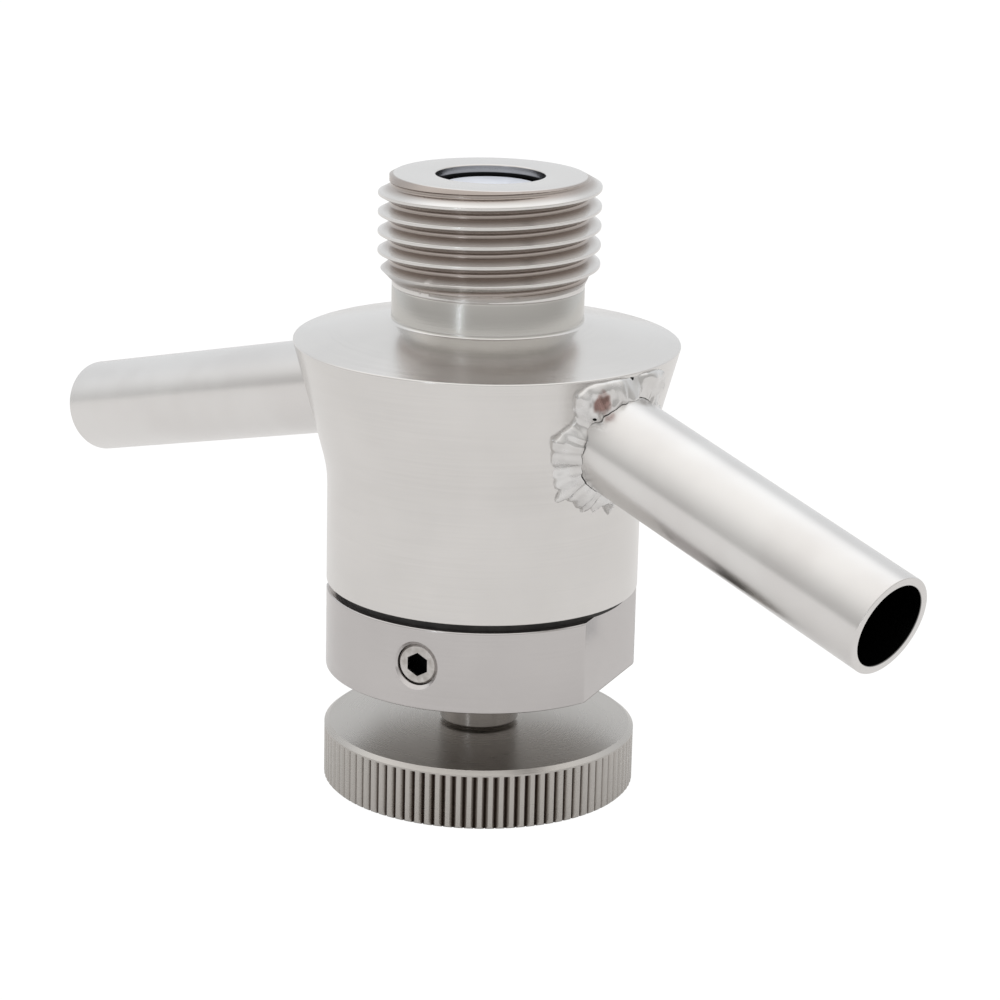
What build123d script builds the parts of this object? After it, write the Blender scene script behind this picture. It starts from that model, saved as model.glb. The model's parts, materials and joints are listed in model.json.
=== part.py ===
from build123d import *
from math import cos, radians, sin, sqrt
import os

# A sanitary sampling valve: a flared body with a G 1/2 spigot, two welded tubes that slope
# down for draining, a bonnet below it, and a knurled handwheel that lifts a silicone
# diaphragm off its seat in the spigot's mouth. Millimetres, with the origin on the valve
# axis at the handwheel's lower face, +Z towards the spigot and +X along the outlet tube.

# Outside heights, from the bottom up
handwheel_height = 5.75
stem_showing = 5.7
collar_height = 7.9
seal_thickness = 0.7
body_height = 23.67
shoulder_rise = 2.0
spigot_length = 15.78

# Body and spigot
body_rim = 4.0
flare_start = 11.0
flare_blend = 12.0
shoulder_overhang = 3.43
shoulder_edge = 0.15
neck_r = 9.1
neck_fillet = 0.45
thread_r = 20.955 / 2
thread_length = 8.95
thread_end_face_r = 9.0
thread_end_chamfer = 0.8
mouth_r = 5.15
mouth_depth = 2.65
mouth_edge = 0.12
chamber_r = 6.5

# Tubes and their welds
tube_r = 9.525 / 2
tube_wall = 0.8
tube_edge = 0.12
outlet_drop = 1.52
inlet_drop = 3.02
outlet_slope = 16.7
inlet_slope = 14.2
outlet_reach = 51.5
inlet_reach = 60.5
socket_depth = 3.2
port_r = 3.0
outlet_weld_leg = 1.3
inlet_weld_leg = 1.1

# Bonnet
collar_top_chamfer = 0.5
collar_edge = 0.2
flat_depth = 1.5
flat_azimuth = 21.5
bonnet_lip = 2.0
boss_wall = 2.7
seal_recess = 0.8

# Lock screw of the spindle nut
lock_screw_r = 2.0
lock_screw_height = 4.2
lock_screw_sink = 0.4
lock_screw_chamfer = 0.2
lock_hole_chamfer = 0.35
lock_hex = 2.0
lock_hex_depth = 2.2
lock_dog_r = 1.1
lock_dog_length = 1.1

# Spindle nut, spindle and its swivel in the plunger
travel = 3.0
spindle_pitch = 1.5
nut_wall = 2.0
nut_ledge = 1.3
nut_length = 6.4
nut_flange = 1.2
spindle_thread_r = 5.0
spindle_thread_chamfer = 0.4
stem_relief = 1.2
stem_base_chamfer = 0.35
stop_gap = 0.2
washer_inset = 0.2
washer_thickness = 0.6
journal_r = 2.5
journal_groove_r = 1.7
journal_neck = 1.9
journal_head = 0.5
journal_end_gap = 0.15
swivel_pin_r = 0.7
swivel_pin_recess = 0.2

# Plunger, its guide and the diaphragm
guide_wall = 2.8
head_height = 4.1
head_gap = 0.3
rod_r = 2.6
stud_r = 1.5
stud_length = 3.2
stud_end_gap = 0.3
guide_pin_r = 0.8
guide_pin_sink = 1.8
guide_pin_stand = 2.3
guide_pin_drop = 1.4
clamp_thickness = 2.0
flange_thickness = 2.0
flange_gap = 0.3
tip_depth = 1.0
tip_r = 4.6
tip_round = 0.3
nose_r = 5.9
nose_band = 0.8
sleeve_r = 4.6
sleeve_wall = 1.7
root_r = 6.2
root_band = 0.8
root_height = 4.0
root_cavity_height = 3.5
fold_count = 5
fold_depth = 0.8
fold_pitch = 2.6
fold_start = 5.0
insert_head_r = 3.4
insert_head_height = 1.6
insert_length = 5.2
silicone_over_insert = 2.5

# Stem seal
ring_section_r = 0.6
ring_lip = 0.4

# Handwheel and its fixing
handwheel_r = 15.1
knurl_count = 94
knurl_width = 0.6
knurl_depth = 0.42
bevel_width = 0.45
bevel_height = 0.35
base_bevel = 0.25
spigot_r = 2.8
spigot_flat = 2.35
spigot_end = 3.3
cap_r = 5.0
cap_thickness = 1.2
recess_r = 4.3
fixing_washer_r = 4.0
fixing_washer_thickness = 0.5
fixing_screw_r = 1.5
fixing_screw_length = 6.2
fixing_head_r = 2.75
fixing_head_height = 1.4
fixing_hex = 2.0
fixing_hex_depth = 0.9

# Clearances
thread_fit = 0.05
running_fit = 0.05
slide_fit = 0.08
press_fit = 0.02
axial_play = 0.05
seat_gap = 0.07

# Levels on the valve axis
collar_z = handwheel_height + stem_showing
collar_top_z = collar_z + collar_height
body_z = collar_top_z + seal_thickness
flare_z = body_z + flare_start
shoulder_z = body_z + body_height
neck_z = shoulder_z + shoulder_rise
spigot_top_z = shoulder_z + spigot_length
thread_z = spigot_top_z - thread_length
nut_z = collar_z + bonnet_lip
nut_top_z = nut_z + nut_length
spindle_thread_z = nut_z + travel + stop_gap
head_z = nut_top_z + travel + stop_gap
spindle_shoulder_z = head_z - axial_play - washer_thickness
groove_z = spindle_shoulder_z + journal_neck
groove_height = 2 * swivel_pin_r + 2 * axial_play
swivel_pin_z = groove_z + groove_height / 2
journal_top_z = groove_z + groove_height + journal_head
head_top_z = head_z + head_height
guide_pin_z = head_top_z - guide_pin_drop
bonnet_top_z = head_top_z + head_gap
clamp_top_z = bonnet_top_z + clamp_thickness
seat_z = clamp_top_z + flange_thickness
tip_z = spigot_top_z - tip_depth
insert_head_z = tip_z - silicone_over_insert - insert_head_height
insert_z = insert_head_z + insert_head_height - insert_length
valve_seat_z = spigot_top_z - mouth_depth
lock_screw_z = collar_z + lock_screw_height

# Radii and distances that follow from the sizes above
stem_r = spindle_thread_r - stem_relief
washer_r = spindle_thread_r - washer_inset
nut_r = spindle_thread_r + nut_wall
boss_bore_r = nut_r + nut_ledge
boss_thread_r = boss_bore_r + boss_wall
head_r = boss_bore_r - guide_wall
body_r = boss_thread_r + body_rim
collar_r = body_r
shoulder_r = body_r + shoulder_overhang
flare_slope = (shoulder_r - body_r) / (body_height - flare_start)
swivel_pin_y = journal_groove_r + swivel_pin_r + running_fit
swivel_pin_half = sqrt(head_r**2 - (swivel_pin_y + swivel_pin_r) ** 2) - swivel_pin_recess
guide_pin_start = head_r - guide_pin_sink
ring_r = stem_r + running_fit + ring_section_r
ring_z = collar_z + ring_lip
cavity_r = sleeve_r - sleeve_wall
outlet_z = shoulder_z - outlet_drop
inlet_z = shoulder_z - inlet_drop
lock_plane = Plane(
    origin=(0, 0, lock_screw_z),
    x_dir=(cos(radians(flat_azimuth)), sin(radians(flat_azimuth)), 0),
    z_dir=(sin(radians(flat_azimuth)), -cos(radians(flat_azimuth)), 0),
)


def tube_direction(side, slope):
    """Unit vector along a tube, away from the valve axis and down."""
    return Vector(side * cos(radians(slope)), 0, -sin(radians(slope)))


def tube_plane(side, slope, height):
    """Plane across a tube where its axis meets the valve axis, facing along the tube."""
    return Plane(origin=(0, 0, height), x_dir=(0, 1, 0), z_dir=tube_direction(side, slope))


def surface_distance(slope, height):
    """Distance along a tube's axis from the valve axis to the flare's surface."""
    run = cos(radians(slope)) + sin(radians(slope)) * flare_slope
    return (body_r + (height - flare_z) * flare_slope) / run


def round_corner(sketch, corner, radius):
    """Rounds the corner of a profile that lies nearest to a point."""
    fillet(sketch.vertices().sort_by_distance(corner)[0], radius=radius)


def body_outline(inner_points):
    """The body's turned profile: its outside, closed by the points of its inside."""
    with BuildSketch(Plane.XZ) as outline:
        with BuildLine():
            Polyline(
                (body_r, body_z),
                (body_r, flare_z),
                (shoulder_r, shoulder_z),
                (neck_r, neck_z),
                (neck_r, thread_z),
                (thread_r, thread_z + thread_r - neck_r),
                (thread_r, spigot_top_z - thread_end_chamfer),
                (thread_end_face_r, spigot_top_z),
                *inner_points,
                close=True,
            )
        make_face()
        round_corner(outline, (body_r, flare_z), flare_blend)
        round_corner(outline, (shoulder_r, shoulder_z), shoulder_edge)
        round_corner(outline, (neck_r, neck_z), neck_fillet)
    return outline


def make_valve_body():
    seat_drop = chamber_r - mouth_r
    inside = [
        (mouth_r + mouth_edge, spigot_top_z),
        (mouth_r, spigot_top_z - mouth_edge),
        (mouth_r, valve_seat_z),
        (chamber_r, valve_seat_z - seat_drop),
        (chamber_r, seat_z),
        (boss_thread_r, seat_z),
        (boss_thread_r, body_z),
    ]
    with BuildPart() as valve_body:
        add(body_outline(inside).sketch)
        revolve(axis=Axis.Z)
        for side, slope, height in ((1, outlet_slope, outlet_z), (-1, inlet_slope, inlet_z)):
            surface = surface_distance(slope, height)
            with BuildSketch(tube_plane(side, slope, height)):
                Circle(port_r)
            extrude(amount=surface, mode=Mode.SUBTRACT)
            with BuildSketch(tube_plane(side, slope, height).offset(surface - socket_depth)):
                Circle(tube_r + press_fit)
            extrude(amount=shoulder_r, mode=Mode.SUBTRACT)
    valve_body.part.label = "valve_body"
    export_step(valve_body.part, "parts/valve_body.step")
    return valve_body.part


def make_tube(name, side, slope, height, reach):
    start = surface_distance(slope, height) - socket_depth
    with BuildPart() as tube:
        with BuildSketch(tube_plane(side, slope, height).offset(start)):
            Circle(tube_r)
            Circle(tube_r - tube_wall, mode=Mode.SUBTRACT)
        extrude(amount=reach - start)
        end_face = tube.faces().filter_by(GeomType.PLANE).sort_by(Axis.Z)[0]
        chamfer(end_face.edges(), tube_edge)
    tube.part.label = name
    export_step(tube.part, f"parts/{name}.step")
    return tube.part


def make_weld(name, side, slope, height, leg):
    """A bead along the line where the tube leaves the body, cut back to those two."""
    solid_body = body_outline([(0, spigot_top_z), (0, body_z)]).sketch
    tube_outside = tube_r + press_fit
    length = surface_distance(slope, height) + 2 * tube_outside
    with BuildPart() as weld:
        add(solid_body)
        revolve(axis=Axis.Z)
        with BuildSketch(tube_plane(side, slope, height)):
            Circle(tube_outside)
        extrude(amount=length)
        joint = weld.edges(Select.LAST).filter_by(GeomType.BSPLINE)
        chamfer(joint, length=leg)
        add(solid_body)
        revolve(axis=Axis.Z, mode=Mode.SUBTRACT)
        with BuildSketch(tube_plane(side, slope, height)):
            Circle(tube_outside)
        extrude(amount=length, mode=Mode.SUBTRACT)
    weld.part.label = name
    export_step(weld.part, f"parts/{name}.step")
    return weld.part


def make_bonnet():
    boss_r = boss_thread_r - thread_fit
    lip_r = stem_r + slide_fit
    ring_groove_r = ring_r + ring_section_r + running_fit
    ring_groove_top = ring_z + 2 * ring_section_r + 2 * running_fit
    with BuildPart() as bonnet:
        with BuildSketch(Plane.XZ):
            with BuildLine():
                Polyline(
                    (lip_r, collar_z),
                    (collar_r - collar_edge, collar_z),
                    (collar_r, collar_z + collar_edge),
                    (collar_r, collar_top_z - collar_top_chamfer),
                    (collar_r - collar_top_chamfer, collar_top_z),
                    (boss_r, collar_top_z),
                    (boss_r, bonnet_top_z),
                    (boss_bore_r, bonnet_top_z),
                    (boss_bore_r, nut_top_z - nut_flange),
                    (nut_r + press_fit, nut_top_z - nut_flange),
                    (nut_r + press_fit, nut_z),
                    (lip_r, nut_z),
                    (lip_r, ring_groove_top),
                    (ring_groove_r, ring_groove_top),
                    (ring_groove_r, ring_z),
                    (lip_r, ring_z),
                    close=True,
                )
            make_face()
        revolve(axis=Axis.Z)
        with BuildSketch(Plane.XY.offset(collar_z)):
            with PolarLocations(collar_r, 2, start_angle=flat_azimuth):
                Rectangle(2 * flat_depth, 2 * collar_r)
        extrude(amount=collar_height, mode=Mode.SUBTRACT)
        with Locations(lock_plane.offset(collar_r)):
            CounterSinkHole(
                radius=lock_screw_r,
                counter_sink_radius=lock_screw_r + lock_hole_chamfer,
                depth=collar_r - nut_r + lock_dog_length,
                counter_sink_angle=90,
            )
    bonnet.part.label = "bonnet"
    export_step(bonnet.part, "parts/bonnet.step")
    return bonnet.part


def make_bonnet_seal():
    with BuildPart() as bonnet_seal:
        with BuildSketch(Plane.XY.offset(collar_top_z)):
            Circle(body_r - seal_recess)
            Circle(boss_thread_r, mode=Mode.SUBTRACT)
        extrude(amount=seal_thickness)
    bonnet_seal.part.label = "bonnet_seal"
    export_step(bonnet_seal.part, "parts/bonnet_seal.step")
    return bonnet_seal.part


def make_spindle_nut():
    """A flanged bronze nut, dropped in from above and held by the lock screw's dog point."""
    with BuildPart() as spindle_nut:
        with BuildSketch(Plane.XY.offset(nut_z)):
            Circle(nut_r)
        extrude(amount=nut_length)
        with BuildSketch(Plane.XY.offset(nut_top_z)):
            Circle(boss_bore_r - press_fit)
        extrude(amount=-nut_flange)
        with BuildSketch(Plane.XY.offset(nut_z)):
            Circle(spindle_thread_r)
        extrude(amount=nut_length, mode=Mode.SUBTRACT)
        with BuildSketch(lock_plane.offset(nut_r - lock_dog_length - axial_play)):
            Circle(lock_dog_r + press_fit)
        extrude(amount=nut_r, mode=Mode.SUBTRACT)
    spindle_nut.part.label = "spindle_nut"
    export_step(spindle_nut.part, "parts/spindle_nut.step")
    return spindle_nut.part


def make_lock_screw():
    screw_foot = nut_r + axial_play
    screw_face = collar_r - lock_screw_sink
    with BuildPart() as lock_screw:
        with BuildSketch(lock_plane.offset(screw_foot)):
            Circle(lock_screw_r - thread_fit)
        extrude(amount=screw_face - screw_foot)
        chamfer(lock_screw.edges().filter_by(GeomType.CIRCLE), length=lock_screw_chamfer)
        with BuildSketch(lock_plane.offset(nut_r - lock_dog_length)):
            Circle(lock_dog_r)
        extrude(amount=lock_dog_length + axial_play + lock_screw_chamfer)
        with BuildSketch(lock_plane.offset(screw_face)):
            RegularPolygon(lock_hex / 2, 6, major_radius=False, rotation=30)
        extrude(amount=-lock_hex_depth, mode=Mode.SUBTRACT)
    lock_screw.part.label = "lock_screw"
    export_step(lock_screw.part, "parts/lock_screw.step")
    return lock_screw.part


def make_stem_seal():
    with BuildPart() as stem_seal:
        with BuildSketch(Plane.XZ):
            with Locations((ring_r, ring_z + ring_section_r + running_fit)):
                Circle(ring_section_r)
        revolve(axis=Axis.Z)
    stem_seal.part.label = "stem_seal"
    export_step(stem_seal.part, "parts/stem_seal.step")
    return stem_seal.part


def make_plunger_guide():
    """A bush with one long slot, in which the guide pin keeps the plunger from turning."""
    slot_width = 2 * (guide_pin_r + running_fit)
    slot_start = head_r - guide_pin_r
    with BuildPart() as plunger_guide:
        with BuildSketch(Plane.XY.offset(nut_top_z)):
            Circle(boss_bore_r - press_fit)
            Circle(head_r + running_fit, mode=Mode.SUBTRACT)
            with Locations((0, slot_start)):
                Rectangle(
                    slot_width,
                    boss_bore_r,
                    align=(Align.CENTER, Align.MIN),
                    mode=Mode.SUBTRACT,
                )
        extrude(amount=bonnet_top_z - nut_top_z)
    plunger_guide.part.label = "plunger_guide"
    export_step(plunger_guide.part, "parts/plunger_guide.step")
    return plunger_guide.part


def make_diaphragm_clamp():
    with BuildPart() as diaphragm_clamp:
        with BuildSketch(Plane.XY.offset(bonnet_top_z)):
            Circle(boss_thread_r - thread_fit)
            Circle(rod_r + slide_fit, mode=Mode.SUBTRACT)
        extrude(amount=clamp_thickness)
    diaphragm_clamp.part.label = "diaphragm_clamp"
    export_step(diaphragm_clamp.part, "parts/diaphragm_clamp.step")
    return diaphragm_clamp.part


def make_diaphragm():
    """One silicone moulding: clamped flange, folded sleeve and a nose that closes the mouth."""
    nose_top_z = valve_seat_z - seat_gap - (tip_r - mouth_r)
    nose_low_z = valve_seat_z - seat_gap - (nose_r - mouth_r)
    sleeve_top_z = nose_low_z - nose_band - (nose_r - sleeve_r)
    folds = []
    for number in range(fold_count):
        low = seat_z + fold_start + number * fold_pitch
        folds += [
            (sleeve_r, low),
            (sleeve_r + fold_depth, low + fold_pitch / 4),
            (sleeve_r + fold_depth, low + fold_pitch / 2),
            (sleeve_r, low + 3 * fold_pitch / 4),
        ]
    pocket_r = insert_head_r + press_fit
    pocket_low_z = insert_head_z - press_fit
    pocket_top_z = insert_head_z + insert_head_height + press_fit
    with BuildPart() as diaphragm:
        with BuildSketch(Plane.XZ) as outline:
            with BuildLine():
                Polyline(
                    (root_r - sleeve_wall, clamp_top_z),
                    (boss_thread_r - flange_gap, clamp_top_z),
                    (boss_thread_r - flange_gap, seat_z),
                    (root_r, seat_z),
                    (root_r, seat_z + root_band),
                    (sleeve_r, seat_z + root_height),
                    *folds,
                    (sleeve_r, sleeve_top_z),
                    (nose_r, nose_low_z - nose_band),
                    (nose_r, nose_low_z),
                    (tip_r, nose_top_z),
                    (tip_r, tip_z),
                    (0, tip_z),
                    (0, pocket_top_z),
                    (pocket_r, pocket_top_z),
                    (pocket_r, pocket_low_z),
                    (rod_r + press_fit, pocket_low_z),
                    (rod_r + press_fit, insert_z),
                    (cavity_r, insert_z),
                    (cavity_r, seat_z + root_cavity_height),
                    (root_r - sleeve_wall, seat_z),
                    close=True,
                )
            make_face()
            round_corner(outline, (tip_r, tip_z), tip_round)
        revolve(axis=Axis.Z)
    diaphragm.part.label = "diaphragm"
    export_step(diaphragm.part, "parts/diaphragm.step")
    return diaphragm.part


def make_diaphragm_insert():
    """The steel insert moulded into the nose, tapped for the plunger's stud."""
    with BuildPart() as diaphragm_insert:
        with BuildSketch(Plane.XY.offset(insert_z)):
            Circle(rod_r)
        extrude(amount=insert_head_z - insert_z)
        with BuildSketch(Plane.XY.offset(insert_head_z)):
            Circle(insert_head_r)
        extrude(amount=insert_head_height)
        with BuildSketch(Plane.XY.offset(insert_z)):
            Circle(stud_r)
        extrude(amount=stud_length + stud_end_gap, mode=Mode.SUBTRACT)
    diaphragm_insert.part.label = "diaphragm_insert"
    export_step(diaphragm_insert.part, "parts/diaphragm_insert.step")
    return diaphragm_insert.part


def make_plunger():
    pocket_top_z = journal_top_z + journal_end_gap
    with BuildPart() as plunger:
        with BuildSketch(Plane.XZ):
            with BuildLine():
                Polyline(
                    (journal_r + running_fit, head_z),
                    (head_r, head_z),
                    (head_r, head_top_z),
                    (rod_r, head_top_z),
                    (rod_r, insert_z),
                    (stud_r - press_fit, insert_z),
                    (stud_r - press_fit, insert_z + stud_length),
                    (0, insert_z + stud_length),
                    (0, pocket_top_z),
                    (journal_r + running_fit, pocket_top_z),
                    close=True,
                )
            make_face()
        revolve(axis=Axis.Z)
        with BuildSketch(Plane.YZ):
            with Locations((-swivel_pin_y, swivel_pin_z), (swivel_pin_y, swivel_pin_z)):
                Circle(swivel_pin_r + press_fit)
        extrude(amount=head_r, both=True, mode=Mode.SUBTRACT)
        with BuildSketch(Plane.ZX.offset(guide_pin_start - axial_play)):
            with Locations((guide_pin_z, 0)):
                Circle(guide_pin_r + press_fit)
        extrude(amount=head_r, mode=Mode.SUBTRACT)
    plunger.part.label = "plunger"
    export_step(plunger.part, "parts/plunger.step")
    return plunger.part


def make_swivel_pins():
    """Two pins through the plunger's head, either side of the groove in the journal."""
    with BuildPart() as swivel_pins:
        with BuildSketch(Plane.YZ):
            with Locations((-swivel_pin_y, swivel_pin_z), (swivel_pin_y, swivel_pin_z)):
                Circle(swivel_pin_r)
        extrude(amount=swivel_pin_half, both=True)
    swivel_pins.part.label = "swivel_pins"
    export_step(swivel_pins.part, "parts/swivel_pins.step")
    return swivel_pins.part


def make_guide_pin():
    with BuildPart() as guide_pin:
        with BuildSketch(Plane.ZX.offset(guide_pin_start)):
            with Locations((guide_pin_z, 0)):
                Circle(guide_pin_r)
        extrude(amount=guide_pin_sink + guide_pin_stand)
    guide_pin.part.label = "guide_pin"
    export_step(guide_pin.part, "parts/guide_pin.step")
    return guide_pin.part


def make_spindle():
    thread_surface_r = spindle_thread_r - thread_fit
    with BuildPart() as spindle:
        with BuildSketch(Plane.XZ):
            with BuildLine():
                Polyline(
                    (0, spigot_end),
                    (spigot_r, spigot_end),
                    (spigot_r, handwheel_height),
                    (stem_r - stem_base_chamfer, handwheel_height),
                    (stem_r, handwheel_height + stem_base_chamfer),
                    (stem_r, spindle_thread_z),
                    (thread_surface_r - spindle_thread_chamfer, spindle_thread_z),
                    (thread_surface_r, spindle_thread_z + spindle_thread_chamfer),
                    (thread_surface_r, spindle_shoulder_z),
                    (journal_r, spindle_shoulder_z),
                    (journal_r, groove_z),
                    (journal_groove_r, groove_z),
                    (journal_groove_r, groove_z + groove_height),
                    (journal_r, groove_z + groove_height),
                    (journal_r, journal_top_z),
                    (0, journal_top_z),
                    close=True,
                )
            make_face()
        revolve(axis=Axis.Z)
        flat_cut = spigot_r - spigot_flat
        with BuildSketch(Plane.XY.offset(spigot_end)):
            with Locations((0, spigot_flat + flat_cut), (0, -spigot_flat - flat_cut)):
                Rectangle(2 * spigot_r, 2 * flat_cut)
        extrude(amount=handwheel_height - spigot_end, mode=Mode.SUBTRACT)
        with BuildSketch(Plane.XY.offset(spigot_end)):
            Circle(fixing_screw_r + press_fit)
        extrude(amount=fixing_screw_length, mode=Mode.SUBTRACT)
    spindle.part.label = "spindle"
    export_step(spindle.part, "parts/spindle.step")
    return spindle.part


def make_thrust_washer():
    with BuildPart() as thrust_washer:
        with BuildSketch(Plane.XY.offset(spindle_shoulder_z)):
            Circle(washer_r)
            Circle(journal_r + running_fit, mode=Mode.SUBTRACT)
        extrude(amount=washer_thickness)
    thrust_washer.part.label = "thrust_washer"
    export_step(thrust_washer.part, "parts/thrust_washer.step")
    return thrust_washer.part


def make_handwheel():
    """A disc with a straight knurl, whose grooves end in points on the top bevel."""
    recess_top_z = spigot_end - axial_play
    with BuildPart() as handwheel:
        with BuildSketch():
            Circle(handwheel_r)
            with PolarLocations(handwheel_r, knurl_count):
                Polygon(
                    (-knurl_depth, 0),
                    (knurl_depth, -knurl_width),
                    (knurl_depth, knurl_width),
                    align=None,
                    mode=Mode.SUBTRACT,
                )
        extrude(amount=handwheel_height)
        with BuildSketch(Plane.XZ):
            with BuildLine():
                Polyline(
                    (handwheel_r - bevel_width, handwheel_height),
                    (handwheel_r + bevel_width, handwheel_height),
                    (handwheel_r + bevel_width, handwheel_height - bevel_height),
                    (handwheel_r, handwheel_height - bevel_height),
                    close=True,
                )
            make_face()
            with BuildLine():
                Polyline(
                    (handwheel_r - base_bevel, 0),
                    (handwheel_r + base_bevel, 0),
                    (handwheel_r + base_bevel, 2 * base_bevel),
                    close=True,
                )
            make_face()
        revolve(axis=Axis.Z, mode=Mode.SUBTRACT)
        with BuildSketch():
            Circle(cap_r)
        extrude(amount=cap_thickness, mode=Mode.SUBTRACT)
        with BuildSketch():
            Circle(recess_r)
        extrude(amount=recess_top_z, mode=Mode.SUBTRACT)
        with BuildSketch():
            Circle(spigot_r + slide_fit)
            Rectangle(2 * handwheel_r, 2 * (spigot_flat + slide_fit), mode=Mode.INTERSECT)
        extrude(amount=handwheel_height, mode=Mode.SUBTRACT)
    handwheel.part.label = "handwheel"
    export_step(handwheel.part, "parts/handwheel.step")
    return handwheel.part


def make_handwheel_washer():
    with BuildPart() as handwheel_washer:
        with BuildSketch(Plane.XY.offset(spigot_end - axial_play)):
            Circle(fixing_washer_r)
            Circle(fixing_screw_r + slide_fit, mode=Mode.SUBTRACT)
        extrude(amount=-fixing_washer_thickness)
    handwheel_washer.part.label = "handwheel_washer"
    export_step(handwheel_washer.part, "parts/handwheel_washer.step")
    return handwheel_washer.part


def make_handwheel_screw():
    head_top = spigot_end - axial_play - fixing_washer_thickness
    head_low = head_top - fixing_head_height
    with BuildPart() as handwheel_screw:
        with BuildSketch(Plane.XY.offset(head_low)):
            Circle(fixing_head_r)
        extrude(amount=fixing_head_height)
        with BuildSketch(Plane.XY.offset(head_top)):
            Circle(fixing_screw_r)
        extrude(amount=fixing_screw_length)
        with BuildSketch(Plane.XY.offset(head_low)):
            RegularPolygon(fixing_hex / 2, 6, major_radius=False)
        extrude(amount=fixing_hex_depth, mode=Mode.SUBTRACT)
    handwheel_screw.part.label = "handwheel_screw"
    export_step(handwheel_screw.part, "parts/handwheel_screw.step")
    return handwheel_screw.part


def make_handwheel_cap():
    """The button that closes the recess over the fixing screw, flush with the lower face."""
    with BuildPart() as handwheel_cap:
        with BuildSketch():
            Circle(cap_r - press_fit)
        extrude(amount=cap_thickness)
    handwheel_cap.part.label = "handwheel_cap"
    export_step(handwheel_cap.part, "parts/handwheel_cap.step")
    return handwheel_cap.part


def main():
    os.makedirs("parts", exist_ok=True)
    make_valve_body()
    make_tube("outlet_tube", 1, outlet_slope, outlet_z, outlet_reach)
    make_tube("inlet_tube", -1, inlet_slope, inlet_z, inlet_reach)
    make_weld("outlet_weld", 1, outlet_slope, outlet_z, outlet_weld_leg)
    make_weld("inlet_weld", -1, inlet_slope, inlet_z, inlet_weld_leg)
    make_bonnet()
    make_bonnet_seal()
    make_spindle_nut()
    make_lock_screw()
    make_stem_seal()
    make_plunger_guide()
    make_diaphragm_clamp()
    make_diaphragm()
    make_diaphragm_insert()
    make_plunger()
    make_swivel_pins()
    make_guide_pin()
    make_spindle()
    make_thrust_washer()
    make_handwheel()
    make_handwheel_washer()
    make_handwheel_screw()
    make_handwheel_cap()
    print("travel", travel, "mm in", travel / spindle_pitch * 360, "degrees")


main()
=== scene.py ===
import json
from math import atan2, cos, hypot, pi, radians, sin, tan

import bpy
from mathutils import Matrix, Vector, noise

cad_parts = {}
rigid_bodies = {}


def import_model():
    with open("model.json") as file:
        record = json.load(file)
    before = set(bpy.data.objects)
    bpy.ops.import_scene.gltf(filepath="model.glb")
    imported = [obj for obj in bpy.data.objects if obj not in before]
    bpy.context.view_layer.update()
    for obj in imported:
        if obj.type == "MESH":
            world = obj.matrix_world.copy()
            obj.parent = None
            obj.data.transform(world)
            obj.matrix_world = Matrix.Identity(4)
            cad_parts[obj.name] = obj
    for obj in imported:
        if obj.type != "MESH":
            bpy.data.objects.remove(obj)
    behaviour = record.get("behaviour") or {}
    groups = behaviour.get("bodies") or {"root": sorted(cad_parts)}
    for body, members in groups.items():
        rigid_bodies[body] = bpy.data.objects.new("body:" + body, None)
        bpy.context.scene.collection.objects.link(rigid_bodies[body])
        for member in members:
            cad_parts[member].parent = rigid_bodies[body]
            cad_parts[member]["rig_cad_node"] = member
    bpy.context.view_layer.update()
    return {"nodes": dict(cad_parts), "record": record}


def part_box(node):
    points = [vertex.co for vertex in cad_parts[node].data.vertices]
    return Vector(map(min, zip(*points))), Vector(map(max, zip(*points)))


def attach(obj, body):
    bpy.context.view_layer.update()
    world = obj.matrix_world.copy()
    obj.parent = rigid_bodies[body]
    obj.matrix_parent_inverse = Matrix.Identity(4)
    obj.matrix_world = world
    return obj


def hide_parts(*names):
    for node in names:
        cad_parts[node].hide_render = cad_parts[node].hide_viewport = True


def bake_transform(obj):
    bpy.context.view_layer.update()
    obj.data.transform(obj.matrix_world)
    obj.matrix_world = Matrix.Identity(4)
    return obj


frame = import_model()
MM = 0.001


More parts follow.
